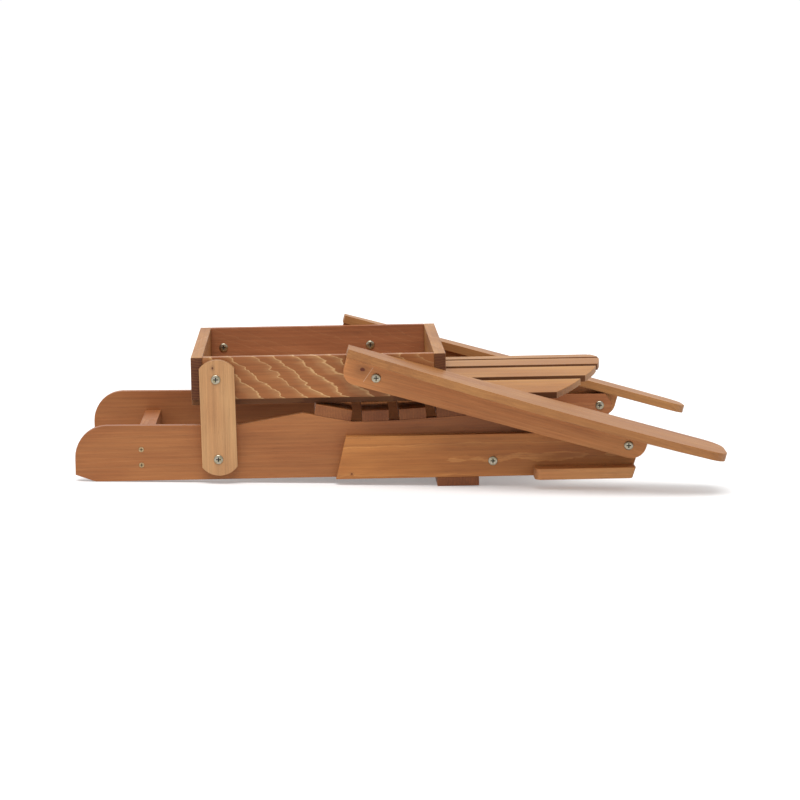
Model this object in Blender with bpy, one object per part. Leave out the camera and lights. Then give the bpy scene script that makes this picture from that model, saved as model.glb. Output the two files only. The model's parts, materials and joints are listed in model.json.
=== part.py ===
"""Folding wooden garden chair of the Adirondack kind, modelled folded flat.

Every board, slat, bolt and sleeve nut is a separate object. The boards are laid out in the
seat frame: origin on the rear link's pivot, midway between the rails, +X to the chair's
front, +Y to its left, +Z square to the rails' lower edge. The empty "chair" tips that frame
until the rails' heels and the leg stretcher both touch the floor at Z = 0.
"""

import math

import bmesh
import bpy
from mathutils import Matrix, Vector

# Timber and gaps
BOARD = 0.020  # rails, legs, links, arm supports and back sides
END_BOARD = 0.021
GAP = 0.0003  # between pieces that touch
PLAY = 0.0006  # between boards that turn against each other

# Layers across the chair, from the middle outwards
HALF_WIDTH = 0.272  # to the outer face of the rails and of the back frame
RAIL_LAYER = (HALF_WIDTH - BOARD, HALF_WIDTH)
LEG_LAYER = (HALF_WIDTH + PLAY, HALF_WIDTH + PLAY + BOARD)
ARM_LAYER = (LEG_LAYER[1] + PLAY, LEG_LAYER[1] + PLAY + BOARD)

# Pivots in the seat frame, as (x, z)
REAR_PIVOT = (0.0, 0.0)  # link on rail
BACK_PIVOT = (-0.002, 0.1455)  # link on back frame
ARM_BACK_PIVOT = (0.2875, 0.1455)  # arm support on back frame
LEG_PIVOT = (0.4975, -0.012)  # leg on rail
ARM_PIVOT = (0.7428, 0.014)  # arm support on leg

# How the chair stands when open
OPEN_TILT = math.radians(19.8)  # of the rails, front end up
LEG_SWING = math.radians(84.0)

# Rails
RAIL_REAR, RAIL_FRONT = -0.2605, 0.582
RAIL_BOTTOM = -0.039
HEEL_LENGTH = 0.0365
REAR_TOP = 0.0625
REAR_RADIUS = 0.057
HUMP_START, HUMP_PEAK = (0.038, 0.0595), (0.1545, 0.079)
SEAT_LINE = [HUMP_PEAK, (0.2465, 0.0612), (0.3201, 0.0626), (0.388, 0.066),
             (0.456, 0.0695), (0.5239, 0.0715), (RAIL_FRONT, 0.0545)]
TOE_RADIUS = 0.022

# Seat slats
SLAT_THICKNESS = 0.0195
FIRST_SLAT_X, FIRST_SLAT_WIDTH = 0.2076, 0.067
NEXT_SLAT_X, SLAT_PITCH, SLAT_WIDTH = 0.2862, 0.0679, 0.049
NARROW_SLATS = 5

# Rear stretcher between the rails, and its screws
STRETCHER_X, STRETCHER_WIDTH = -0.1435, 0.030
STRETCHER_TOP, STRETCHER_HEIGHT = 0.0245, 0.046
STRETCHER_SCREW_X = -0.1405
STRETCHER_SCREW_Z = (0.0180, -0.0105)

# Legs, their stretcher and the corbels
LEG_BOTTOM, LEG_TOP = -0.0405, 0.0368
FOOT_X = 0.2122
LEG_END = 0.0240  # past the arm pivot, at its height
LEG_END_LEAN = math.radians(19.0)  # upper corner ahead of the lower one
LEG_CHAMFER = (0.0141, 0.0195)
CROSS_X = (0.396, 0.4719)
CROSS_THICKNESS = 0.016
CORBEL_REAR = 0.571
CORBEL_THICKNESS = 0.020
CORBEL_DROP = 0.0022  # its lower face below the leg's edge
CORBEL_REACH = 0.044
CORBEL_RADIUS = 0.014

# Arm supports and armrests, measured along and across the line between their pivots
ARM_LENGTH = math.dist(ARM_PIVOT, ARM_BACK_PIVOT)
ARM_LOW, ARM_HIGH = -0.0225, 0.0245
ARM_REAR, ARM_FRONT = -ARM_LENGTH - 0.0605, 0.032
ARM_REAR_RADIUS, ARM_FRONT_RADIUS = 0.023, 0.028
REST_REAR, REST_FRONT = -ARM_LENGTH - 0.0625, 0.1685
REST_WIDTHS = (0.0600, 0.1700, 0.1240)  # rear end, pull of the bow between, front end
REST_THICKNESS = 0.0155
REST_RADIUS = 0.036
REST_ROLL = math.radians(2.0)  # outer edge lower than the inner one
SPACER_RADIUS = 0.014

# Links
LINK_HALF_WIDTH = 0.0317
LINK_OFFSET = 0.0020  # the board's middle ahead of the line between the pivots
LINK_OVERHANG = (0.0297, 0.0352)  # past the rail pivot and past the back pivot
LINK_END_RADIUS = 0.040

# Back frame and its fan of slats
BACK_X = (-0.0473, 0.4152)
BACK_HALF_DEPTH = 0.0385
FAN_RADIUS = 0.940  # of the hollow that the six slats make across the back
FAN_STEP = 5.36  # degrees from one slat to the next
FAN_CROWN = 0.1402  # height of the rear faces at the middle
FAN_SLATS = 6
BACK_SLAT_WIDTH, BACK_SLAT_THICKNESS = 0.0695, 0.0125
HEAD_X, HEAD_RADIUS = 0.7165, 0.370  # arched top of the back

# Connector bolts and screws
HEAD_OF_BOLT = [(0.0060, 0.0022), (0.0078, 0.0016), (0.0085, 0.0008), (0.0085, 0.0)]
SHANK_RADIUS = 0.0031
SLEEVE_RADIUS, SLEEVE_BORE = 0.0045, 0.0034
BOLT_HOLE, SHANK_HOLE = 0.0049, 0.0036
ROUND_STEPS = 20

# Colours (linear), one base tone per kind of timber and metal
RAIL_TONE = (0.33, 0.125, 0.052)
LEG_TONE = (0.40, 0.165, 0.062)
LINK_TONE = (0.55, 0.275, 0.125)
SEAT_TONE = (0.27, 0.110, 0.048)
BACK_TONE = (0.36, 0.150, 0.065)
ZINC_TONE = (0.62, 0.59, 0.52)

BODY_ORIGIN = {"seat": REAR_PIVOT, "legs": LEG_PIVOT, "arms": ARM_PIVOT,
               "links": REAR_PIVOT, "back": BACK_PIVOT}
BODY_PARENT = {"seat": "chair", "legs": "seat_pivot", "arms": "legs_pivot",
               "links": "seat_pivot", "back": "links_pivot"}
SIDES = {"right": -1, "left": 1}


# ---------------------------------------------------------------- scene and bodies

def clear_scene():
    for obj in list(bpy.data.objects):
        bpy.data.objects.remove(obj)


def add_empty(name, parent, location):
    empty = bpy.data.objects.new(name, None)
    bpy.context.scene.collection.objects.link(empty)
    empty.parent = parent
    empty.location = location
    return empty


def make_bodies():
    """One empty on each body's joint axis, each under the body that carries it."""
    empties = {"chair": add_empty("chair", None, (0, 0, 0))}
    places = {"chair": REAR_PIVOT}
    for body, origin in BODY_ORIGIN.items():
        parent = BODY_PARENT[body]
        dx, dz = origin[0] - places[parent][0], origin[1] - places[parent][1]
        name = body + "_pivot"
        empties[name] = add_empty(name, empties[parent], (dx, 0, dz))
        places[name] = origin
    return empties


def timber(name, tone, roughness=0.55):
    material = bpy.data.materials.new(name)
    material.use_nodes = True
    shader = material.node_tree.nodes["Principled BSDF"]
    shader.inputs["Base Color"].default_value = (*tone, 1.0)
    shader.inputs["Roughness"].default_value = roughness
    return material


def metal(name):
    material = timber(name, ZINC_TONE, roughness=0.32)
    material.node_tree.nodes["Principled BSDF"].inputs["Metallic"].default_value = 1.0
    return material


def add_piece(name, mesh_data, body, material, smooth=False):
    """Link a mesh drawn in the seat frame to the empty of its body."""
    origin = BODY_ORIGIN[body]
    mesh_data.transform(Matrix.Translation((-origin[0], 0, -origin[1])))
    obj = bpy.data.objects.new(name, mesh_data)
    bpy.context.scene.collection.objects.link(obj)
    obj.parent = bpy.data.objects[body + "_pivot"]
    if material:
        mesh_data.materials.append(material)
    if smooth:
        mesh_data.shade_smooth()
        mesh_data.set_sharp_from_angle(angle=math.radians(35))
    return obj


# ---------------------------------------------------------------- outlines and solids

def arc(centre, radius, start, end, steps=8):
    """Points along a circle from one angle to another, in degrees."""
    angles = [math.radians(start + (end - start) * i / steps) for i in range(steps + 1)]
    return [(centre[0] + radius * math.cos(a), centre[1] + radius * math.sin(a)) for a in angles]


def rotated(point, angle):
    cos, sin = math.cos(angle), math.sin(angle)
    return point[0] * cos - point[1] * sin, point[0] * sin + point[1] * cos


def loft(near, far):
    """A closed mesh between two rings of equally many points, given in 3D."""
    bm = bmesh.new()
    rings = [[bm.verts.new(p) for p in ring] for ring in (near, far)]
    count = len(near)
    for ring in rings:
        bm.faces.new(ring)
    for i in range(count):
        j = (i + 1) % count
        bm.faces.new((rings[0][i], rings[0][j], rings[1][j], rings[1][i]))
    bmesh.ops.recalc_face_normals(bm, faces=bm.faces)
    mesh_data = bpy.data.meshes.new("solid")
    bm.to_mesh(mesh_data)
    bm.free()
    return mesh_data


def side_board(outline, side, layer, inner_outline=None):
    """A board seen from the side: outline in (x, z), thickness across the chair."""
    inner = [(x, side * layer[0], z) for x, z in inner_outline or outline]
    outer = [(x, side * layer[1], z) for x, z in outline]
    return loft(inner, outer)


def cross_board(outline, x_range):
    """A board seen from the end: outline in (y, z), thickness along the chair."""
    return loft([(x_range[0], y, z) for y, z in outline], [(x_range[1], y, z) for y, z in outline])


def flat_board(outline, z_range):
    """A board seen from above: outline in (x, y), thickness upright."""
    return loft([(x, y, z_range[0]) for x, y in outline], [(x, y, z_range[1]) for x, y in outline])


def turned(profile, pivot, y, direction):
    """A turned piece on an axis across the chair; the profile is (radius, outward offset)."""
    bm = bmesh.new()
    rings = []
    for radius, offset in profile:
        if radius == 0:
            rings.append([bm.verts.new((pivot[0], y + direction * offset, pivot[1]))])
            continue
        ring = arc(pivot, radius, 0, 360, ROUND_STEPS)[:-1]
        rings.append([bm.verts.new((x, y + direction * offset, z)) for x, z in ring])
    for low, high in zip(rings, rings[1:]):
        for i in range(ROUND_STEPS):
            j = (i + 1) % ROUND_STEPS
            corners = [low[i % len(low)], low[j % len(low)], high[j % len(high)], high[i % len(high)]]
            bm.faces.new(list(dict.fromkeys(corners)))
    bmesh.ops.recalc_face_normals(bm, faces=bm.faces)
    mesh_data = bpy.data.meshes.new("turned")
    bm.to_mesh(mesh_data)
    bm.free()
    return mesh_data


def cut(board, cutter_mesh, body):
    """Take a cutter's shape out of a board; the cutter stays hidden as a wire."""
    cutter = add_piece(board.name + "_cutter", cutter_mesh, body, None)
    cutter.hide_render = True
    cutter.display_type = "WIRE"
    modifier = board.modifiers.new("hole", "BOOLEAN")
    modifier.operation = "DIFFERENCE"
    modifier.solver = "EXACT"
    modifier.object = cutter


def drill(board, body, pivot, side, layer, radius=BOLT_HOLE):
    """A round hole right through a side board."""
    margin = 0.002
    depth = layer[1] - layer[0] + 2 * margin
    profile = [(0, 0), (radius, 0), (radius, depth), (0, depth)]
    cut(board, turned(profile, pivot, side * (layer[0] - margin), side), body)


# ---------------------------------------------------------------- seat: rails and slats

def rail_outline():
    heel_rise = HEEL_LENGTH * math.tan(OPEN_TILT)
    corner = (RAIL_REAR + REAR_RADIUS, REAR_TOP - REAR_RADIUS)
    toe = (RAIL_FRONT - TOE_RADIUS, RAIL_BOTTOM + TOE_RADIUS)
    outline = [(RAIL_REAR, RAIL_BOTTOM + heel_rise), (RAIL_REAR + HEEL_LENGTH, RAIL_BOTTOM)]
    outline += arc(toe, TOE_RADIUS, -90, 0, 6)
    outline += list(reversed(SEAT_LINE))
    outline += [HUMP_START]
    outline += arc(corner, REAR_RADIUS, 90, 180, 10)
    return outline


def seat_line_at(x):
    """Height and slope of the rails' upper edge at x."""
    for start, end in zip(SEAT_LINE, SEAT_LINE[1:]):
        if start[0] <= x <= end[0]:
            slope = math.atan2(end[1] - start[1], end[0] - start[0])
            return start[1] + (x - start[0]) * math.tan(slope), slope
    raise ValueError("x is off the seat")


def seat_slat(name, x, width):
    height, slope = seat_line_at(x)
    corners = [(-width / 2, GAP), (width / 2, GAP),
               (width / 2, GAP + SLAT_THICKNESS), (-width / 2, GAP + SLAT_THICKNESS)]
    outline = [(x + dx, height + dz) for dx, dz in (rotated(c, slope) for c in corners)]
    mesh_data = side_board(outline, 1, (-HALF_WIDTH, HALF_WIDTH))
    return add_piece(name, mesh_data, "seat", timber(name, SEAT_TONE))


def wood_screw_profile(clearance):
    """Countersunk screw, head flush with the board; a clearance makes it the hole's cutter."""
    top = 0.001 if clearance else -GAP
    return [(0, top), (0.0046 + clearance, top), (0.0046 + clearance, -0.0012),
            (0.0022 + clearance, -0.0038 - clearance), (0.0022 + clearance, -0.046 - clearance),
            (0, -0.048 - clearance)]


def make_seat():
    for label, side in SIDES.items():
        name = label + "_rail"
        rail = add_piece(name, side_board(rail_outline(), side, RAIL_LAYER), "seat",
                         timber(name, RAIL_TONE))
        for pivot in (REAR_PIVOT, LEG_PIVOT):
            drill(rail, "seat", pivot, side, RAIL_LAYER)

    half = RAIL_LAYER[0] - GAP
    x_range = (STRETCHER_X - STRETCHER_WIDTH / 2, STRETCHER_X + STRETCHER_WIDTH / 2)
    low, high = STRETCHER_TOP - STRETCHER_HEIGHT, STRETCHER_TOP
    outline = [(-half, low), (half, low), (half, high), (-half, high)]
    stretcher = add_piece("rear_stretcher", cross_board(outline, x_range), "seat",
                          timber("rear_stretcher", RAIL_TONE))

    for label, side in SIDES.items():
        for place, z in zip(("upper", "lower"), STRETCHER_SCREW_Z):
            name = f"rear_screw_{label}_{place}"
            spot = (STRETCHER_SCREW_X, z)
            screw = turned(wood_screw_profile(0), spot, side * HALF_WIDTH, side)
            add_piece(name, screw, "seat", metal(name), smooth=True)
            for board in (bpy.data.objects[label + "_rail"], stretcher):
                cutter = turned(wood_screw_profile(0.0004), spot, side * HALF_WIDTH, side)
                cut(board, cutter, "seat")

    seat_slat("seat_slat_1", FIRST_SLAT_X, FIRST_SLAT_WIDTH)
    for i in range(NARROW_SLATS):
        seat_slat(f"seat_slat_{i + 2}", NEXT_SLAT_X + i * SLAT_PITCH, SLAT_WIDTH)


# ---------------------------------------------------------------- legs

def leg_end(z):
    """Where the leg's leaning upper end is at a height."""
    return ARM_PIVOT[0] + LEG_END + (z - ARM_PIVOT[1]) * math.tan(LEG_END_LEAN)


def leg_outline():
    """Foot cut to stand flat when open; leaning upper end with a chamfered corner."""
    foot_slope = math.pi - OPEN_TILT - LEG_SWING  # of the foot cut, folded
    foot_shift = (LEG_TOP - LEG_BOTTOM) / math.tan(foot_slope)
    shoulder = LEG_TOP - LEG_CHAMFER[1]
    return [(FOOT_X, LEG_BOTTOM), (leg_end(LEG_BOTTOM), LEG_BOTTOM), (leg_end(shoulder), shoulder),
            (leg_end(shoulder) - LEG_CHAMFER[0], LEG_TOP), (FOOT_X + foot_shift, LEG_TOP)]


def corbel_outline(side, z):
    """Seen from above: a block with rounded outer corners, its end in line with the leg's."""
    inner, outer = LEG_LAYER[1] + GAP, LEG_LAYER[1] + CORBEL_REACH
    front = leg_end(z)
    front_corner = (front - CORBEL_RADIUS / 2, outer - CORBEL_RADIUS / 2)
    rear_corner = (CORBEL_REAR + CORBEL_RADIUS, outer - CORBEL_RADIUS)
    points = [(front, inner), *arc(front_corner, CORBEL_RADIUS / 2, 0, 90, 4),
              *arc(rear_corner, CORBEL_RADIUS, 90, 180, 6), (CORBEL_REAR, inner)]
    return [(x, side * y, z) for x, y in points]


def make_legs():
    for label, side in SIDES.items():
        name = label + "_leg"
        leg = add_piece(name, side_board(leg_outline(), side, LEG_LAYER), "legs",
                        timber(name, LEG_TONE))
        for pivot in (LEG_PIVOT, ARM_PIVOT):
            drill(leg, "legs", pivot, side, LEG_LAYER)

        name = label + "_corbel"
        low = LEG_BOTTOM - CORBEL_DROP
        rings = [corbel_outline(side, z) for z in (low, low + CORBEL_THICKNESS)]
        add_piece(name, loft(*rings), "legs", timber(name, LEG_TONE))

    half = LEG_LAYER[1]
    outline = [(CROSS_X[0], -half), (CROSS_X[1], -half), (CROSS_X[1], half), (CROSS_X[0], half)]
    top = LEG_BOTTOM - GAP
    add_piece("leg_stretcher", flat_board(outline, (top - CROSS_THICKNESS, top)), "legs",
              timber("leg_stretcher", LEG_TONE))


# ---------------------------------------------------------------- arms

def to_arm_frame():
    """Turns (along the arm, across the chair, up from the pivot line) into the seat frame."""
    dx, dz = ARM_PIVOT[0] - ARM_BACK_PIVOT[0], ARM_PIVOT[1] - ARM_BACK_PIVOT[1]
    turn = Matrix.Rotation(-math.atan2(dz, dx), 4, "Y")
    return Matrix.Translation((ARM_PIVOT[0], 0, ARM_PIVOT[1])) @ turn


def arm_support_outline(top):
    rear = (ARM_REAR + ARM_REAR_RADIUS, ARM_LOW + ARM_REAR_RADIUS)
    front = (ARM_FRONT - ARM_FRONT_RADIUS, ARM_LOW + ARM_FRONT_RADIUS)
    return [(ARM_REAR, top), *arc(rear, ARM_REAR_RADIUS, 180, 270, 5),
            *arc(front, ARM_FRONT_RADIUS, -90, 0, 7), (ARM_FRONT, top)]


def armrest_outline():
    """Plan of an armrest: straight inner edge, outer edge swelling towards the front."""
    steps = 12
    length = REST_FRONT - REST_REAR
    rear, pull, front = REST_WIDTHS
    straight = 1 - REST_RADIUS / length
    shares = [straight * i / steps for i in range(steps)]
    outline = [(REST_REAR, 0)]
    outline += [(REST_REAR + s * length, rear * (1 - s) ** 2 + 2 * pull * s * (1 - s) + front * s * s)
                for s in shares]
    outer = (REST_FRONT - REST_RADIUS, front - REST_RADIUS)
    inner = (REST_FRONT - REST_RADIUS, REST_RADIUS)
    outline += arc(outer, REST_RADIUS, 90, 0, 6) + arc(inner, REST_RADIUS, 0, -90, 6)
    return outline


def armrest_mesh(side):
    roll_rise = (ARM_LAYER[1] - LEG_LAYER[0]) * math.tan(REST_ROLL)
    inner_height = ARM_HIGH + GAP + roll_rise
    rings = []
    for level in (0, REST_THICKNESS):
        ring = []
        for along, out in armrest_outline():
            y = LEG_LAYER[0] + out * math.cos(REST_ROLL) + level * math.sin(REST_ROLL)
            up = inner_height - out * math.sin(REST_ROLL) + level * math.cos(REST_ROLL)
            ring.append((along, side * y, up))
        rings.append(ring)
    return loft(*rings)


def make_arms():
    frame = to_arm_frame()
    inner_top = ARM_HIGH + BOARD * math.tan(REST_ROLL)
    for label, side in SIDES.items():
        name = label + "_arm_support"
        mesh_data = side_board(arm_support_outline(ARM_HIGH), side, ARM_LAYER,
                               arm_support_outline(inner_top))
        mesh_data.transform(frame)
        support = add_piece(name, mesh_data, "arms", timber(name, LINK_TONE))
        drill(support, "arms", ARM_PIVOT, side, ARM_LAYER)
        drill(support, "arms", ARM_BACK_PIVOT, side, ARM_LAYER, SHANK_HOLE)

        name = label + "_armrest"
        mesh_data = armrest_mesh(side)
        mesh_data.transform(frame)
        add_piece(name, mesh_data, "arms", timber(name, LINK_TONE))

        name = label + "_arm_spacer"
        length = LEG_LAYER[1] - LEG_LAYER[0]
        profile = [(SHANK_HOLE, 0), (SPACER_RADIUS, 0), (SPACER_RADIUS, length),
                   (SHANK_HOLE, length), (SHANK_HOLE, 0)]
        spacer = turned_ring(profile[:-1], ARM_BACK_PIVOT, side * LEG_LAYER[0], side)
        add_piece(name, spacer, "arms", timber(name, LEG_TONE), smooth=True)


def turned_ring(profile, pivot, y, direction):
    """A turned piece with a hole along its axis; its profile is a closed loop."""
    bm = bmesh.new()
    rings = []
    for radius, offset in profile:
        ring = arc(pivot, radius, 0, 360, ROUND_STEPS)[:-1]
        rings.append([bm.verts.new((x, y + direction * offset, z)) for x, z in ring])
    for low, high in zip(rings, rings[1:] + rings[:1]):
        for i in range(ROUND_STEPS):
            j = (i + 1) % ROUND_STEPS
            bm.faces.new((low[i], low[j], high[j], high[i]))
    bmesh.ops.recalc_face_normals(bm, faces=bm.faces)
    mesh_data = bpy.data.meshes.new("ring")
    bm.to_mesh(mesh_data)
    bm.free()
    return mesh_data


# ---------------------------------------------------------------- links

def link_outline():
    """A plank with bowed ends, along the line from the rail pivot to the back pivot."""
    length = math.dist(REAR_PIVOT, BACK_PIVOT)
    lean = math.atan2(BACK_PIVOT[1] - REAR_PIVOT[1], BACK_PIVOT[0] - REAR_PIVOT[0]) - math.pi / 2
    spread = math.degrees(math.asin(LINK_HALF_WIDTH / LINK_END_RADIUS))
    low = (LINK_OFFSET, -LINK_OVERHANG[0] + LINK_END_RADIUS)
    high = (LINK_OFFSET, length + LINK_OVERHANG[1] - LINK_END_RADIUS)
    points = arc(low, LINK_END_RADIUS, -90 - spread, -90 + spread, 10)
    points += arc(high, LINK_END_RADIUS, 90 - spread, 90 + spread, 10)
    return [rotated(p, lean) for p in points]


def make_links():
    for label, side in SIDES.items():
        name = label + "_link"
        link = add_piece(name, side_board(link_outline(), side, LEG_LAYER), "links",
                         timber(name, LINK_TONE))
        for pivot in (REAR_PIVOT, BACK_PIVOT):
            drill(link, "links", pivot, side, LEG_LAYER)


# ---------------------------------------------------------------- back

def fan_bend(number):
    """Where the planes of the rear faces of two neighbouring slats meet, as (y, z)."""
    radius = (FAN_RADIUS + GAP) / math.cos(math.radians(FAN_STEP / 2))
    angle = math.radians(number * FAN_STEP)
    return radius * math.sin(angle), FAN_CROWN - FAN_RADIUS + radius * math.cos(angle)


def fan_reach(z):
    """How far out the rear face of the outermost slat comes down to a height."""
    angle = math.radians(FAN_STEP * (FAN_SLATS - 1) / 2)
    drop = (z - FAN_CROWN + FAN_RADIUS) * math.cos(angle)
    return (FAN_RADIUS + GAP - drop) / math.sin(angle)


def back_end_outline():
    """End board: straight rear edge, front edge hollowed for the slats that lap over it."""
    low = BACK_PIVOT[1] - BACK_HALF_DEPTH
    high = BACK_PIVOT[1] + BACK_HALF_DEPTH
    reach = fan_reach(low)
    bends = [fan_bend(i) for i in range(1 - FAN_SLATS // 2, FAN_SLATS // 2)]
    return [(-HALF_WIDTH, high), (-HALF_WIDTH, low), (-reach, low), *bends, (reach, low),
            (HALF_WIDTH, low), (HALF_WIDTH, high)]


def back_side_outline():
    low = BACK_PIVOT[1] - BACK_HALF_DEPTH
    high = BACK_PIVOT[1] + BACK_HALF_DEPTH
    rear, front = BACK_X[0] + END_BOARD + GAP, BACK_X[1] - END_BOARD - GAP
    return [(rear, low), (front, low), (front, high), (rear, high)]


def back_slat(number):
    """One slat of the fan; its head follows the arched top of the back."""
    angle = math.radians((number - (FAN_SLATS + 1) / 2) * FAN_STEP)
    steps = 6
    across = [BACK_SLAT_WIDTH * (i / steps - 0.5) for i in range(steps + 1)]
    centre = FAN_RADIUS * math.sin(angle)
    outline = [(BACK_X[0], across[0])]
    for v in across:
        y = centre + v * math.cos(angle)
        outline.append((HEAD_X - HEAD_RADIUS + math.sqrt(HEAD_RADIUS ** 2 - y * y), v))
    outline.append((BACK_X[0], across[-1]))
    mesh_data = flat_board(outline, (-BACK_SLAT_THICKNESS, 0))
    place = Vector((0, centre, FAN_CROWN - FAN_RADIUS + FAN_RADIUS * math.cos(angle)))
    mesh_data.transform(Matrix.Translation(place) @ Matrix.Rotation(-angle, 4, "X"))
    name = f"back_slat_{number}"
    return add_piece(name, mesh_data, "back", timber(name, BACK_TONE))


def make_back():
    for name, x_range in (("back_lower_board", (BACK_X[0], BACK_X[0] + END_BOARD)),
                          ("back_upper_board", (BACK_X[1] - END_BOARD, BACK_X[1]))):
        add_piece(name, cross_board(back_end_outline(), x_range), "back", timber(name, BACK_TONE))
    for label, side in SIDES.items():
        name = label + "_back_side"
        board = add_piece(name, side_board(back_side_outline(), side, RAIL_LAYER), "back",
                          timber(name, BACK_TONE))
        for pivot in (BACK_PIVOT, ARM_BACK_PIVOT):
            drill(board, "back", pivot, side, RAIL_LAYER)
    for number in range(1, FAN_SLATS + 1):
        back_slat(number)


# ---------------------------------------------------------------- pivot bolts

def bolt_profile(grip):
    """Domed screw: head outside the timber, shank reaching back through the grip."""
    return [(0, HEAD_OF_BOLT[0][1]), *HEAD_OF_BOLT, (SHANK_RADIUS, 0), (SHANK_RADIUS, -grip), (0, -grip)]


def sleeve_profile(length):
    """Sleeve nut: the same head, with a blind barrel that takes the screw's shank."""
    return [(0, HEAD_OF_BOLT[0][1]), *HEAD_OF_BOLT, (SLEEVE_RADIUS, 0), (SLEEVE_RADIUS, -length),
            (SLEEVE_BORE, -length), (SLEEVE_BORE, -0.001), (0, -0.001)]


def make_bolts():
    """A screw from outside and a sleeve nut from inside at each of the five pivots a side.

    At the pivot between arm and back the two don't meet: the screw rides on the arm, the
    sleeve nut on the back.
    """
    joints = {"rear_pivot": (REAR_PIVOT, RAIL_LAYER[0], LEG_LAYER[1], "seat"),
              "back_pivot": (BACK_PIVOT, RAIL_LAYER[0], LEG_LAYER[1], "links"),
              "leg_pivot": (LEG_PIVOT, RAIL_LAYER[0], LEG_LAYER[1], "seat"),
              "arm_front_pivot": (ARM_PIVOT, LEG_LAYER[0], ARM_LAYER[1], "legs")}
    for label, side in SIDES.items():
        for place, (pivot, inner, outer, body) in joints.items():
            grip = outer - inner
            add_bolt(f"{place}_screw_{label}", bolt_profile(grip - 0.008), pivot,
                     side * (outer + GAP), side, body)
            add_bolt(f"{place}_sleeve_{label}", sleeve_profile(grip - 0.006), pivot,
                     side * (inner - GAP), -side, body)
        reach = ARM_LAYER[1] - LEG_LAYER[0] - 0.001
        add_bolt(f"arm_rear_pivot_screw_{label}", bolt_profile(reach), ARM_BACK_PIVOT,
                 side * (ARM_LAYER[1] + GAP), side, "arms")
        add_bolt(f"arm_rear_pivot_sleeve_{label}", sleeve_profile(BOARD - 0.001), ARM_BACK_PIVOT,
                 side * (RAIL_LAYER[0] - GAP), -side, "back")


def add_bolt(name, profile, pivot, y, direction, body):
    add_piece(name, turned(profile, pivot, y, direction), body, metal(name), smooth=True)


# ---------------------------------------------------------------- standing on the floor

def stand_on_floor():
    """Tip the chair onto its heels and leg stretcher, origin under the middle of its box."""
    heel = (RAIL_REAR + HEEL_LENGTH, RAIL_BOTTOM)
    skid = (CROSS_X[0], LEG_BOTTOM - GAP - CROSS_THICKNESS)
    chair = bpy.data.objects["chair"]
    chair.rotation_euler = (0, math.atan2(skid[1] - heel[1], skid[0] - heel[0]), 0)
    bpy.context.view_layer.update()
    solids = [o for o in bpy.data.objects if o.type == "MESH" and not o.hide_render]
    points = [o.matrix_world @ v.co for o in solids for v in o.data.vertices]
    low = Vector(min(p[i] for p in points) for i in range(3))
    high = Vector(max(p[i] for p in points) for i in range(3))
    chair.location = (-(low.x + high.x) / 2, -(low.y + high.y) / 2, -low.z)
    bpy.context.view_layer.update()


def main():
    clear_scene()
    make_bodies()
    make_seat()
    make_legs()
    make_arms()
    make_links()
    make_back()
    make_bolts()
    stand_on_floor()


main()
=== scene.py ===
"""Looks of the folding garden chair: stained softwood boards and zinc connector bolts."""

import json
import math
import random
from collections import namedtuple

import bmesh
import bpy
from mathutils import Matrix, Vector


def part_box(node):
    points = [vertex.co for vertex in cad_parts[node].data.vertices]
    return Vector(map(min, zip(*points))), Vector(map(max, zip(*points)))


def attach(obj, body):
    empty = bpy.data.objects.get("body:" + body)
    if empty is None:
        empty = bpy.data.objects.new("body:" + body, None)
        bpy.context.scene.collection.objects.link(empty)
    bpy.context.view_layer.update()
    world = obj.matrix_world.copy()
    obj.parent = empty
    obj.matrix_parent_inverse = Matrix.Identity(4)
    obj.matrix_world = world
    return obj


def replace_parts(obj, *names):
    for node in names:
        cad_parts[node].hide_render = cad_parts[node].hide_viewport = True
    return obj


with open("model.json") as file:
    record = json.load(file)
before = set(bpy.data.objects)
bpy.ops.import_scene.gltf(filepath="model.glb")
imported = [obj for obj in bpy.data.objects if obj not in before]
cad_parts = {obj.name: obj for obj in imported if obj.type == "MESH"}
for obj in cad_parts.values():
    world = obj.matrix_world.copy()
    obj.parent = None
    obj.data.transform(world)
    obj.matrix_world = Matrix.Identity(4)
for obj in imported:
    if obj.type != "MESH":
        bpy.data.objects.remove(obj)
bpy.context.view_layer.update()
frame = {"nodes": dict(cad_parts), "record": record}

# Directions in the folded chair, in world axes
SEAT_TILT = math.radians(1.66)  # the rails' front ends stand a little higher
ARM_SLOPE = math.radians(-14.45)  # the arms fall towards the front
ALONG = Vector((math.cos(SEAT_TILT), 0, math.sin(SEAT_TILT)))
UPRIGHT = Vector((-math.sin(SEAT_TILT), 0, math.cos(SEAT_TILT)))
ACROSS = Vector((0, 1, 0))
ARM_ALONG = Vector((math.cos(ARM_SLOPE), 0, math.sin(ARM_SLOPE)))
ARM_UP = Vector((-math.sin(ARM_SLOPE), 0, math.cos(ARM_SLOPE)))

# Stained timber tones, linear: the body of the wood and its pale late rings
TONES = {
    "rail": ((0.270, 0.094, 0.027), (0.385, 0.165, 0.054)),
    "leg": ((0.345, 0.128, 0.031), (0.500, 0.222, 0.064)),
    # the far leg: a darker copy of the leg tone, painted shade on its shaded inner face
    "far leg painted shade": ((0.255, 0.082, 0.025), (0.370, 0.145, 0.052)),
    "corbel": ((0.430, 0.188, 0.064), (0.520, 0.250, 0.092)),
    "link": ((0.425, 0.228, 0.098), (0.515, 0.298, 0.141)),
    "support": ((0.435, 0.172, 0.055), (0.550, 0.262, 0.096)),
    "armrest": ((0.292, 0.123, 0.036), (0.378, 0.181, 0.060)),
    "seat": ((0.275, 0.094, 0.026), (0.410, 0.156, 0.050)),
    "near side": ((0.260, 0.091, 0.025), (0.490, 0.290, 0.126)),
    "far side": ((0.305, 0.110, 0.043), (0.400, 0.186, 0.082)),
    "slat": ((0.322, 0.143, 0.040), (0.412, 0.202, 0.063)),
}

EDGE_RADIUS = 0.0012  # eased edges of the boards
SLAT_EDGE_RADIUS = 0.0009

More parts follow.
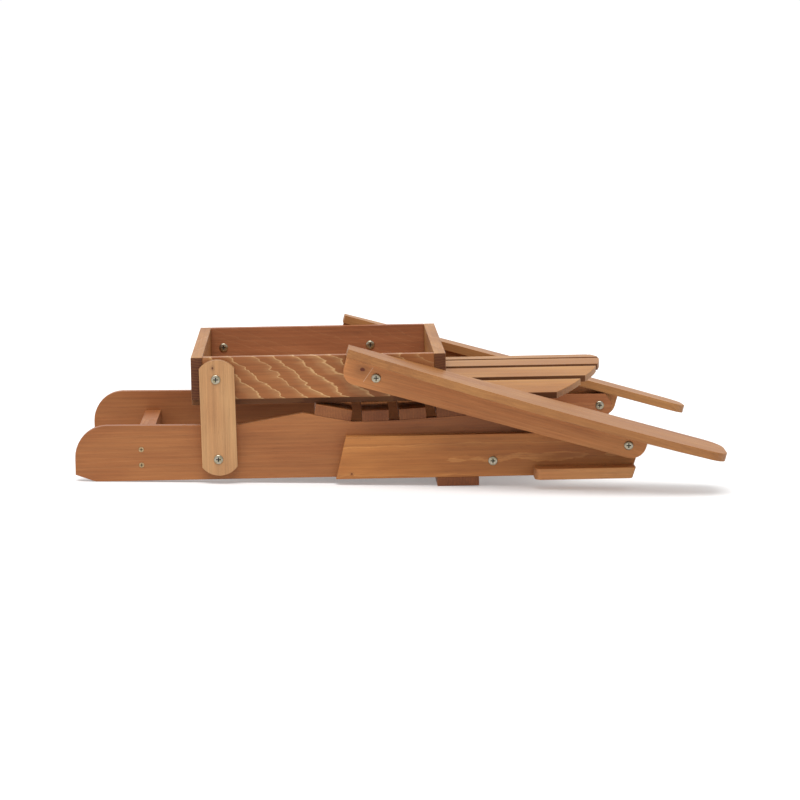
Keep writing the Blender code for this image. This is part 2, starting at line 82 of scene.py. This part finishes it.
# Driver recess of the bolts: reach and half width of its arms, at its mouth and at its floor
MOUTH = (0.0044, 0.0010)
RECESS_FLOOR = (0.0017, 0.0007)
RECESS_DEPTH = 0.0019
HEAD_HEIGHT = 0.0022
# Domed head from its rim in: share of the radius and share of the height
DOME = ((1.0, 0.16), (0.985, 0.36), (0.93, 0.60), (0.84, 0.80), (0.72, 0.93), (0.60, 0.99))
SHANK_RADIUS, THREAD_DEPTH, THREAD_PITCH = 0.0031, 0.0004, 0.0010
SLEEVE_RADIUS, SLEEVE_BORE, SLEEVE_FLOOR = 0.0045, 0.0034, 0.0010
# Small countersunk screws: shank radius, and the depths below the face between which it widens
WOOD_SHANK, CONE_START, CONE_END = 0.0022, 0.0038, 0.0012
SCREW_SCALE = 0.62  # of their recess against the bolts'


# ---------------------------------------------------------------- node helpers

class Graph:
    """Small helper that adds shader nodes and links them."""

    def __init__(self, tree):
        self.tree = tree

    def add(self, kind, **settings):
        node = self.tree.nodes.new(kind)
        for key, value in settings.items():
            setattr(node, key, value)
        return node

    def feed(self, socket, value):
        if isinstance(value, bpy.types.NodeSocket):
            self.tree.links.new(value, socket)
        elif value is not None:
            socket.default_value = value

    def math(self, operation, a, b=None, c=None):
        node = self.add("ShaderNodeMath", operation=operation)
        for socket, value in zip(node.inputs, (a, b, c)):
            self.feed(socket, value)
        return node.outputs[0]

    def vector(self, operation, a, b=None):
        node = self.add("ShaderNodeVectorMath", operation=operation)
        self.feed(node.inputs[0], a)
        self.feed(node.inputs[1], b)
        return node.outputs["Value" if operation in ("DOT_PRODUCT", "LENGTH") else "Vector"]

    def split(self, vector):
        node = self.add("ShaderNodeSeparateXYZ")
        self.feed(node.inputs[0], vector)
        return node.outputs

    def join(self, x, y, z):
        node = self.add("ShaderNodeCombineXYZ")
        for socket, value in zip(node.inputs, (x, y, z)):
            self.feed(socket, value)
        return node.outputs[0]

    def noise(self, vector, detail=2.0, roughness=0.5):
        node = self.add("ShaderNodeTexNoise")
        self.feed(node.inputs["Vector"], vector)
        node.inputs["Scale"].default_value = 1.0
        node.inputs["Detail"].default_value = detail
        node.inputs["Roughness"].default_value = roughness
        return node.outputs["Fac"]

    def smooth(self, value, low, high, to_low=0.0, to_high=1.0):
        node = self.add("ShaderNodeMapRange", interpolation_type="SMOOTHSTEP")
        for socket, item in zip(node.inputs, (value, low, high, to_low, to_high)):
            self.feed(socket, item)
        return node.outputs[0]

    def mix(self, factor, a, b, blend="MIX"):
        node = self.add("ShaderNodeMix", data_type="RGBA", blend_type=blend)
        self.feed(node.inputs["Factor"], factor)
        self.feed(node.inputs[6], a)  # 6 and 7 are the colour inputs, output 2 the colour
        self.feed(node.inputs[7], b)
        return node.outputs[2]

    def multiply(self, color, factor):
        return self.mix(1.0, color, factor, blend="MULTIPLY")


# ---------------------------------------------------------------- timber

# Noise patterns, in cells per metre along the grain, over the width and through the thickness
SLOW_WAVE = (3.5, 17, 17)
QUICK_WAVE = (22, 95, 95)
BLOTCHES = (3.2, 13, 13)
STREAKS = (5, 240, 240)
FIBRES = (30, 1500, 1500)
PORES = (70, 1300, 1300)
KNOT_EDGE = (160, 160, 160)

QUICK_SHARE = 0.42  # of the quick wave against the slow one
STREAK_TINT, FIBRE_TINT, BLOTCH_TINT = 0.12, 0.07, 0.17  # lighter and darker by this share
PORE_SHADE, HALO_SHADE = 0.22, 0.22
STAIN_AND_SHADE_TONE = (0.12, 0.0, 0.0, 1)  # what fully stained end grain, or full painted shade on a long edge, leaves of the colour
KNOT_TONE = (0.34, 0.18, 0.14, 1)  # what a knot leaves of it
BUMP_STRENGTH, BUMP_HEIGHT = 0.55, 0.00035

GROUP_INPUTS = {
    "Place": "NodeSocketVector", "Pith": "NodeSocketVector", "Tilt": "NodeSocketVector",
    "Ring": "NodeSocketFloat", "Wave": "NodeSocketFloat", "Bold": "NodeSocketFloat",
    "Body": "NodeSocketColor", "Late": "NodeSocketColor", "End": "NodeSocketFloat",
    "Seed": "NodeSocketFloat", "Knot": "NodeSocketVector", "Knot Size": "NodeSocketFloat",
}


def timber_group():
    """Growth rings round a pith line, cut by the board, with fibres, pores, blotches, a knot.

    Place is in metres in the board's own axes: X along the grain, Y over the width, Z through
    the thickness. Pith is where the tree's heart runs (y, z), Tilt how it leans along X.
    """
    tree = bpy.data.node_groups.new("timber", "ShaderNodeTree")
    for name, kind in GROUP_INPUTS.items():
        tree.interface.new_socket(name, in_out="INPUT", socket_type=kind)
    for name, kind in (("Color", "NodeSocketColor"), ("Roughness", "NodeSocketFloat"),
                       ("Normal", "NodeSocketVector")):
        tree.interface.new_socket(name, in_out="OUTPUT", socket_type=kind)
    g = Graph(tree)
    given = g.add("NodeGroupInput").outputs
    out = g.add("NodeGroupOutput").inputs
    place = given["Place"]
    shift = g.join(given["Seed"], g.math("MULTIPLY", given["Seed"], 1.7),
                   g.math("MULTIPLY", given["Seed"], 2.3))

    def field(stretch, detail=2.0, roughness=0.5):
        return g.noise(g.vector("ADD", g.vector("MULTIPLY", place, stretch), shift), detail, roughness)

    # the knot: a round spot that pushes the rings aside
    spot = g.vector("MULTIPLY", g.vector("SUBTRACT", place, given["Knot"]), (0.7, 1.0, 0.0))
    wobbly = g.math("ADD", g.vector("LENGTH", spot),
                    g.math("MULTIPLY", g.math("SUBTRACT", field(KNOT_EDGE), 0.5), 0.002))
    knot_share = g.math("DIVIDE", wobbly, g.math("MAXIMUM", given["Knot Size"], 0.00001))
    has_knot = g.math("GREATER_THAN", given["Knot Size"], 0.0001)
    heart = g.math("MULTIPLY", g.smooth(knot_share, 0.75, 1.15, 1.0, 0.0), has_knot)
    halo = g.math("MULTIPLY", g.smooth(knot_share, 1.0, 4.0, 1.0, 0.0), has_knot)

    # growth rings
    x, y, z = g.split(place)
    pith = g.split(given["Pith"])
    tilt = g.split(given["Tilt"])
    dy = g.math("SUBTRACT", g.math("SUBTRACT", y, pith[1]), g.math("MULTIPLY", tilt[1], x))
    dz = g.math("SUBTRACT", g.math("SUBTRACT", z, pith[2]), g.math("MULTIPLY", tilt[2], x))
    distance = g.math("SQRT", g.math("ADD", g.math("MULTIPLY", dy, dy), g.math("MULTIPLY", dz, dz)))
    slow = g.math("MULTIPLY", g.math("SUBTRACT", field(SLOW_WAVE), 0.5), given["Wave"])
    quick = g.math("MULTIPLY", g.math("SUBTRACT", field(QUICK_WAVE, 3.0), 0.5),
                   g.math("MULTIPLY", given["Wave"], QUICK_SHARE))
    bulge = g.math("MULTIPLY", halo, g.math("MULTIPLY", given["Knot Size"], 0.9))
    radius = g.math("ADD", g.math("ADD", distance, slow), g.math("ADD", quick, bulge))
    turns = g.math("DIVIDE", radius, given["Ring"])
    uneven = g.noise(g.join(g.math("MULTIPLY", turns, 0.8), given["Seed"], 0.0), 1.0)
    turns = g.math("ADD", turns, uneven)
    phase = g.math("FRACT", turns)  # 0 where a year's growth starts, 1 where it ends
    glow = g.math("MULTIPLY", g.math("POWER", g.smooth(phase, 0.15, 0.95), 2.0), 0.40)
    line = g.math("MULTIPLY", g.smooth(phase, 0.84, 0.94), 0.80)
    late = g.math("MULTIPLY", g.math("ADD", glow, line), g.smooth(phase, 0.95, 1.0, 1.0, 0.0))
    strength = g.noise(g.join(g.math("MULTIPLY", g.math("FLOOR", turns), 0.37), given["Seed"], 5.0), 0.0)
    late = g.math("MULTIPLY", late, g.smooth(strength, 0.25, 0.65, 0.35, 1.0))
    late = g.math("MULTIPLY", late, g.math("SUBTRACT", 1.0, g.math("MULTIPLY", given["End"], 1.2)))

    # stain and fibres
    streaks = field(STREAKS, 3.0, 0.6)
    fibres = field(FIBRES, 3.0, 0.65)
    blotches = field(BLOTCHES, 3.0, 0.55)
    pores = g.smooth(field(PORES, 1.0), 0.66, 0.76)

    color = g.mix(g.math("MULTIPLY", late, given["Bold"]), given["Body"], given["Late"])
    tint = g.math("ADD", g.smooth(streaks, 0.25, 0.75, -STREAK_TINT, STREAK_TINT),
                  g.math("ADD", g.smooth(fibres, 0.25, 0.75, -FIBRE_TINT, FIBRE_TINT),
                         g.smooth(blotches, 0.25, 0.75, -BLOTCH_TINT, BLOTCH_TINT)))
    shade = g.math("ADD", tint, 1.0)
    for spots, share in ((pores, PORE_SHADE), (halo, HALO_SHADE)):
        shade = g.math("MULTIPLY", shade, g.math("SUBTRACT", 1.0, g.math("MULTIPLY", spots, share)))
    color = g.multiply(color, g.join(shade, shade, shade))
    # end grain stained darker, together with painted shade on the long edges of kinds that have edge
    # shade
    stain_and_shade = g.math("MULTIPLY", given["End"], g.smooth(phase, 0.2, 0.95, 1.0, 0.84))
    color = g.mix(stain_and_shade, color, g.multiply(color, STAIN_AND_SHADE_TONE))
    color = g.mix(heart, color, g.multiply(color, KNOT_TONE))
    warm_green = g.smooth(blotches, 0.3, 0.7, 0.90, 1.06)
    warm_blue = g.smooth(blotches, 0.3, 0.7, 0.84, 1.08)
    g.feed(out["Color"], g.multiply(color, g.join(1.0, warm_green, warm_blue)))

    # gloss: end grain is duller, late rings are harder and glossier
    rough = g.math("ADD", g.smooth(fibres, 0.2, 0.8, 0.46, 0.60), g.math("MULTIPLY", given["End"], 0.2))
    g.feed(out["Roughness"], g.math("SUBTRACT", rough, g.math("MULTIPLY", late, 0.06)))

    # relief: fibres, streaks and late rings stand up, pores are sunk
    height = g.math("ADD", g.math("MULTIPLY", fibres, 0.5), g.math("MULTIPLY", streaks, 0.3))
    height = g.math("ADD", height, g.math("MULTIPLY", late, 0.35))
    height = g.math("SUBTRACT", height, g.math("MULTIPLY", pores, 0.4))
    bump = g.add("ShaderNodeBump")
    bump.inputs["Strength"].default_value = BUMP_STRENGTH
    bump.inputs["Distance"].default_value = BUMP_HEIGHT
    g.feed(bump.inputs["Height"], height)
    g.feed(out["Normal"], bump.outputs[0])
    return tree


TIMBER = timber_group()
SATIN = 0.34  # specular level of the oiled wood


def timber(name, centre, axes, kind, cut, seed):
    """A board's own material: the shared timber group set in the board's axes.

    The end grain drinks more stain, by the kind's end shade; the long edges are darkened with painted
    shade, by the kind's edge shade.
    """
    pith, tilt, wave = cut
    material = bpy.data.materials.new(name + "_timber")
    material.use_nodes = True
    g = Graph(material.node_tree)
    shader = material.node_tree.nodes["Principled BSDF"]
    coordinates = g.add("ShaderNodeTexCoord")
    mapping = g.add("ShaderNodeMapping", vector_type="TEXTURE")
    g.feed(mapping.inputs["Vector"], coordinates.outputs["Object"])
    mapping.inputs["Location"].default_value = centre
    mapping.inputs["Rotation"].default_value = Matrix(axes).transposed().to_euler()
    shades = []
    # end grain is stained darker; the long edges get painted shade for the shade that falls between and
    # under them
    for axis, shade in ((axes[0], kind.end_shade), (axes[1], kind.edge_shade)):
        facing = g.math("ABSOLUTE", g.vector("DOT_PRODUCT", coordinates.outputs["Normal"], axis))
        shades.append(g.smooth(facing, 0.55, 0.85, 0.0, shade))
    group = g.add("ShaderNodeGroup", node_tree=TIMBER)
    body, late = TONES[kind.tone]
    values = {"Place": mapping.outputs[0], "Pith": (0, *pith), "Tilt": (0, *tilt), "Ring": kind.ring,
              "Wave": wave, "Bold": kind.bold, "Body": (*body, 1), "Late": (*late, 1),
              "End": g.math("MAXIMUM", *shades), "Seed": seed}
    if name in KNOTS:
        bolt, offset, size = KNOTS[name]
        values["Knot"] = on_board(bolt, offset, centre, axes)
        values["Knot Size"] = size
    for key, value in values.items():
        g.feed(group.inputs[key], value)
    color = group.outputs["Color"]
    if name in SCRATCHES:
        color = scratched(g, color, mapping.outputs[0], name, centre, axes)
    g.feed(shader.inputs["Base Color"], color)
    g.feed(shader.inputs["Roughness"], group.outputs["Roughness"])
    g.feed(shader.inputs["Normal"], group.outputs["Normal"])
    shader.inputs["Specular IOR Level"].default_value = SATIN
    return material


# ---------------------------------------------------------------- marks in the timber

# board: bolt it is measured from, offset along world X and Z, radius
KNOTS = {
    "right_arm_support": ("arm_rear_pivot_screw_right", (-0.0248, 0.0153), 0.0036),
    "right_link": ("back_pivot_screw_right", (-0.0060, 0.0210), 0.0016),
    "right_leg": ("leg_pivot_screw_right", (-0.256, -0.0265), 0.0013),
    "left_rail": ("rear_pivot_screw_left", (0.31, 0.0100), 0.0030),
}
# board: bolt it is measured from, the scratch's two ends along world X and Z
SCRATCHES = {
    "right_arm_support": ("arm_rear_pivot_screw_right", (-0.0058, 0.0187), (-0.0229, -0.0068)),
}
SCRATCH_WIDTH = 0.0007
SCRATCH_TONE = (0.62, 0.40, 0.25, 1)


def on_board(bolt, offset, centre, axes):
    """A place given from a bolt's middle, in the board's own axes."""
    low, high = (Vector(c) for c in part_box(bolt))
    away = (low + high) / 2 + Vector((offset[0], 0, offset[1])) - centre
    return (away.dot(axes[0]), away.dot(axes[1]), 0)


def scratched(g, color, place, name, centre, axes):
    """The colour with one pale scratch drawn over it."""
    bolt, start, end = SCRATCHES[name]
    first = Vector(on_board(bolt, start, centre, axes))
    way = Vector(on_board(bolt, end, centre, axes)) - first
    flat = g.vector("MULTIPLY", g.vector("SUBTRACT", place, first), (1, 1, 0))
    share = g.math("DIVIDE", g.vector("DOT_PRODUCT", flat, way), way.length_squared)
    share = g.math("MINIMUM", g.math("MAXIMUM", share, 0.0), 1.0)
    nearest = g.vector("MULTIPLY", g.join(share, share, share), way)
    gap = g.vector("LENGTH", g.vector("SUBTRACT", flat, nearest))
    return g.mix(g.smooth(gap, SCRATCH_WIDTH * 0.4, SCRATCH_WIDTH, 0.75, 0.0), color, SCRATCH_TONE)


# ---------------------------------------------------------------- boards

# What a board is cut like and looks like: its grain and width axes, the way of sawing, the tone,
# how bold its rings are and how wide, how much darker its end grain is, and how much painted shade
# darkens its long edges
Kind = namedtuple("Kind", "grain width sawing tone bold ring end_shade edge_shade", defaults=(0.0,))

# The first entry whose key is part of the board's name is the board's kind
KINDS = {
    "rail": Kind(ALONG, UPRIGHT, "quarter", "rail", 0.18, 0.0090, 0.30),
    "rear_stretcher": Kind(ACROSS, UPRIGHT, "quarter", "rail", 0.35, 0.0040, 0.30),
    "seat_slat": Kind(ACROSS, ALONG, "quarter", "seat", 0.50, 0.0050, 0.41),
    "leg_stretcher": Kind(ACROSS, ALONG, "quarter", "seat", 0.50, 0.0050, 0.47),
    # the far leg takes the darker copy of the leg tone, painted shade on its shaded inner face
    "left_leg": Kind(ALONG, UPRIGHT, "flat", "far leg painted shade", 0.55, 0.0120, 0.30),
    "leg": Kind(ALONG, UPRIGHT, "flat", "leg", 0.55, 0.0120, 0.30),
    "corbel": Kind(ALONG, ACROSS, "quarter", "corbel", 0.35, 0.0050, 0.30),
    "arm_support": Kind(ARM_ALONG, ARM_UP, "quarter", "support", 0.28, 0.0070, 0.15),
    "armrest": Kind(ARM_ALONG, ACROSS, "flat", "armrest", 0.35, 0.0060, 0.10),
    "arm_spacer": Kind(ACROSS, ALONG, "quarter", "leg", 0.40, 0.0030, 0.30),
    "link": Kind(UPRIGHT, ALONG, "quarter", "link", 0.35, 0.0035, 0.30),
    "right_back_side": Kind(ALONG, UPRIGHT, "bold", "near side", 0.85, 0.0300, 0.50),
    "left_back_side": Kind(ALONG, UPRIGHT, "slanted", "far side", 0.26, 0.0110, 0.50),
    "back_lower_board": Kind(ACROSS, UPRIGHT, "quarter", "slat", 0.40, 0.0050, 0.86),
    "back_upper_board": Kind(ACROSS, UPRIGHT, "quarter", "slat", 0.40, 0.0050, 0.82),
    # the back slats' 0.70 edge shade is painted shade on their long edges
    "back_slat": Kind(ALONG, ACROSS, "quarter", "slat", 0.50, 0.0050, 0.12, 0.70),
}


def sawing(style, rng):
    """Pith place (y, z), its lean (y, z) and the rings' waviness in metres, by the way of sawing."""
    side = rng.choice((-1, 1))
    lean = rng.uniform(-0.03, 0.03)
    cuts = {
        "quarter": ((side * rng.uniform(0.16, 0.30), lean), (lean, 0), 0.010),
        "flat": ((lean, side * rng.uniform(0.05, 0.09)), (0, lean), 0.014),
        "slanted": ((-1.0, 0), (-0.30, 0), 0.030),
        "bold": ((-1.0, 0), (-0.75, 0), 0.060),
    }
    return cuts[style]


def ease_edges(node, radius):
    """Weld the frame's faceted mesh and round its edges over."""
    weld = node.modifiers.new("weld", "WELD")
    weld.merge_threshold = 0.00001
    flat = node.modifiers.new("whole_faces", "DECIMATE")
    flat.decimate_type = "DISSOLVE"
    flat.angle_limit = math.radians(0.5)
    bevel = node.modifiers.new("eased_edges", "BEVEL")
    bevel.width = radius
    bevel.segments = 3
    bevel.limit_method = "ANGLE"
    bevel.angle_limit = math.radians(32)
    bevel.harden_normals = False
    weighted = node.modifiers.new("weighted", "WEIGHTED_NORMAL")
    weighted.keep_sharp = True
    weighted.weight = 90


def dress_board(name, node):
    """Give a board its own timber and eased edges."""
    kind = next(kind for key, kind in KINDS.items() if key in name)
    low, high = (Vector(c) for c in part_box(name))
    axes = (kind.grain, kind.width, kind.grain.cross(kind.width))
    rng = random.Random(name)
    cut = sawing(kind.sawing, rng)
    material = timber(name, (low + high) / 2, axes, kind, cut, rng.uniform(0, 40))
    node.data.materials.clear()
    node.data.materials.append(material)
    thin = "slat" in name or "armrest" in name
    ease_edges(node, SLAT_EDGE_RADIUS if thin else EDGE_RADIUS)


# ---------------------------------------------------------------- bolts and screws

PATCHES = (260, 260, 260)  # noise cells per metre
GRIME = (1400, 1400, 1400)


def metal(name, base, other, metallic, roughness):
    """Metal whose tint wanders between two tones, and its gloss between two roughnesses."""
    material = bpy.data.materials.new(name)
    material.use_nodes = True
    g = Graph(material.node_tree)
    shader = material.node_tree.nodes["Principled BSDF"]
    coordinates = g.add("ShaderNodeTexCoord").outputs["Object"]
    patches = g.noise(g.vector("MULTIPLY", coordinates, PATCHES), 3.0)
    grime = g.noise(g.vector("MULTIPLY", coordinates, GRIME), 2.0)
    g.feed(shader.inputs["Base Color"], g.mix(g.smooth(patches, 0.3, 0.7), (*base, 1), (*other, 1)))
    g.feed(shader.inputs["Roughness"], g.smooth(grime, 0.2, 0.8, roughness, roughness + 0.14))
    shader.inputs["Metallic"].default_value = metallic
    return material


PLATING = metal("zinc_plating", (0.42, 0.38, 0.32), (0.31, 0.27, 0.16), 1.0, 0.24)
TARNISH = metal("tarnished_zinc", (0.52, 0.38, 0.22), (0.36, 0.24, 0.12), 1.0, 0.30)
# painted shade: the driver recess is coloured near black for the shade inside it
RECESS_SHADE = metal("recess_shade", (0.050, 0.042, 0.030), (0.028, 0.024, 0.018), 0.4, 0.55)

# Directions in which turned pieces have points, closer together at the corners of the recess
CORNER = math.degrees(math.atan2(MOUTH[1], MOUTH[0]))
QUADRANT = (-45, -32, -20, -CORNER, 0, CORNER, 20, 32)
ANGLES = [math.radians(90 * quarter + turn) for quarter in range(4) for turn in QUADRANT]


def cross_radius(angle, reach, half):
    """Distance from the middle to the edge of a cross, in a direction."""
    turn = (angle + math.pi / 4) % (math.pi / 2) - math.pi / 4
    if abs(turn) <= math.atan2(half, reach) + 1e-9:
        return reach / math.cos(turn)
    return half / abs(math.sin(turn))


def ring(radius, depth):
    """One round ring of a turned piece: its radius in every direction, and its depth."""
    return [radius] * len(ANGLES), depth


def head_rings(radius, height, scale):
    """Rings over a domed head, from its rim in, then down the driver recess."""
    rings = [ring(radius * share, height * rise) for share, rise in DOME if height]
    for (reach, half), depth in ((MOUTH, 0.0), (RECESS_FLOOR, RECESS_DEPTH)):
        outline = [cross_radius(angle, reach * scale, half * scale) for angle in ANGLES]
        rings.append((outline, height - depth * scale))
    return rings


def thread_rings(start, end):
    """Rings of a threaded shank between two depths."""
    turns = max(1, round((end - start) / THREAD_PITCH))
    step = (end - start) / (2 * turns)
    return [ring(SHANK_RADIUS - THREAD_DEPTH * (i % 2), start + step * i) for i in range(2 * turns + 1)]


def fastener_rings(name, length, radius):
    """Rings of a bolt, its sleeve nut or a countersunk screw, with the head's seat at depth 0."""
    if name.startswith("rear_screw"):
        shank = [ring(WOOD_SHANK, -length), ring(WOOD_SHANK, -CONE_START), ring(radius, -CONE_END)]
        return shank + [ring(radius, 0.0)] + head_rings(radius, 0.0, SCREW_SCALE)
    if "sleeve" in name:
        shank = [ring(SLEEVE_BORE, -SLEEVE_FLOOR), ring(SLEEVE_BORE, -length),
                 ring(SLEEVE_RADIUS, -length), ring(SLEEVE_RADIUS, 0.0)]
    else:
        shank = thread_rings(-length, 0.0)
    return shank + [ring(radius, 0.0)] + head_rings(radius, HEAD_HEIGHT, 1.0)


def lathe(name, rings, middle, out):
    """A closed mesh through rings, tail to recess floor, on an axis along Y; out is the head's side."""
    mesh = bmesh.new()
    rows = []
    for radii, depth in rings:
        rows.append([mesh.verts.new((middle.x + r * math.cos(a), middle.y + out * depth,
                                     middle.z + r * math.sin(a))) for r, a in zip(radii, ANGLES)])
    count = len(ANGLES)
    for row, (lower, upper) in enumerate(zip(rows, rows[1:])):
        for i in range(count):
            j = (i + 1) % count
            face = mesh.faces.new((lower[i], lower[j], upper[j], upper[i]))
            # the recess walls and floor take the painted shade material
            face.material_index = 1 if row == len(rows) - 2 else 0
    mesh.faces.new(rows[0])
    mesh.faces.new(rows[-1]).material_index = 1
    bmesh.ops.recalc_face_normals(mesh, faces=mesh.faces)
    for face in mesh.faces:
        face.smooth = True
    data = bpy.data.meshes.new(name)
    mesh.to_mesh(data)
    mesh.free()
    data.set_sharp_from_angle(angle=math.radians(38))
    for material in (TARNISH if name.startswith("rear_screw") else PLATING, RECESS_SHADE):
        data.materials.append(material)
    piece = bpy.data.objects.new(name, data)
    bpy.context.scene.collection.objects.link(piece)
    return piece


def replace_fastener(name):
    """Stand a detailed bolt in for a plain one, on the same axis and body."""
    low, high = (Vector(c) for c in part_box(name))
    middle = (low + high) / 2
    outward = 1 if middle.y > 0 else -1
    out = -outward if "sleeve" in name else outward
    countersunk = name.startswith("rear_screw")
    height = 0.0 if countersunk else HEAD_HEIGHT
    radius = (high.x - low.x) / 2
    seat = (high.y if out > 0 else low.y) - out * height
    rings = fastener_rings(name, high.y - low.y - height, radius)
    piece = lathe(name + "_detail", rings, Vector((middle.x, seat, middle.z)), out)
    body = next(b for b, nodes in frame["record"]["behaviour"]["bodies"].items() if name in nodes)
    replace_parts(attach(piece, body), name)


for node_name, node_object in frame["nodes"].items():
    if "screw" in node_name or "sleeve" in node_name:
        replace_fastener(node_name)
    else:
        dress_board(node_name, node_object)


# ---------------------------------------------------------------- floor, light, camera

FLOOR_TONE = (0.62, 0.62, 0.62, 1)
FLOOR_GLOW = 0.25
FLOOR_HALF = 40.0

BEHIND = (-0.30, 0.95, 0.0)  # towards the brightest part of the studio
DIMMEST, BRIGHTEST = 0.65, 1.02
KEY_WAY = (0.12, 0.40, -1.0)  # the way the key light shines
KEY_STRENGTH, KEY_SPREAD = 2.4, 40


def floor_paint():
    """Plain pale floor with a little light of its own, so that the shadows on it stay faint."""
    material = bpy.data.materials.new("floor_paint")
    material.use_nodes = True
    shader = material.node_tree.nodes["Principled BSDF"]
    shader.inputs["Base Color"].default_value = FLOOR_TONE
    shader.inputs["Roughness"].default_value = 0.9
    shader.inputs["Emission Color"].default_value = (1, 1, 1, 1)
    shader.inputs["Emission Strength"].default_value = FLOOR_GLOW
    return material


def add_floor():
    mesh_data = bpy.data.meshes.new("floor")
    corners = [(x * FLOOR_HALF, y * FLOOR_HALF, 0) for x, y in ((-1, -1), (1, -1), (1, 1), (-1, 1))]
    mesh_data.from_pydata(corners, [], [(0, 1, 2, 3)])
    floor = bpy.data.objects.new("floor", mesh_data)
    bpy.context.scene.collection.objects.link(floor)
    mesh_data.materials.append(floor_paint())


def add_sun(name, direction, strength, spread):
    lamp = bpy.data.lights.new(name, "SUN")
    lamp.energy = strength
    lamp.angle = math.radians(spread)
    sun = bpy.data.objects.new(name, lamp)
    sun.rotation_euler = Vector(direction).to_track_quat("-Z", "Y").to_euler()
    bpy.context.scene.collection.objects.link(sun)


def light_scene():
    """White behind the chair and dimmer before its front right, and a soft key from above."""
    world = bpy.data.worlds.new("studio")
    world.use_nodes = True
    g = Graph(world.node_tree)
    background = world.node_tree.nodes["Background"]
    background.inputs["Color"].default_value = (1, 1, 1, 1)
    way = g.add("ShaderNodeTexCoord").outputs["Generated"]
    behind = g.vector("DOT_PRODUCT", way, BEHIND)
    g.feed(background.inputs["Strength"], g.smooth(behind, -0.95, 0.0, DIMMEST, BRIGHTEST))
    bpy.context.scene.world = world
    add_sun("key", KEY_WAY, KEY_STRENGTH, KEY_SPREAD)
    bpy.context.scene.view_settings.view_transform = "Standard"


CAMERA_PLACE = (-0.1705, -6.0607, 0.8699)
CAMERA_PITCH = math.radians(7.041)  # looking down
CAMERA_YAW = math.radians(1.693)  # turned to the chair's front
CAMERA_ROLL = math.radians(0.739)
CAMERA_LENS = 144.55


def add_camera():
    camera = bpy.data.objects.new("camera", bpy.data.cameras.new("camera"))
    camera.data.lens = CAMERA_LENS
    camera.data.clip_end = 200
    turn = (Matrix.Rotation(-CAMERA_YAW, 4, "Z") @ Matrix.Rotation(math.pi / 2 - CAMERA_PITCH, 4, "X")
            @ Matrix.Rotation(CAMERA_ROLL, 4, "Z"))
    camera.matrix_world = Matrix.Translation(CAMERA_PLACE) @ turn
    bpy.context.scene.collection.objects.link(camera)
    bpy.context.scene.camera = camera


add_floor()
light_scene()
add_camera()
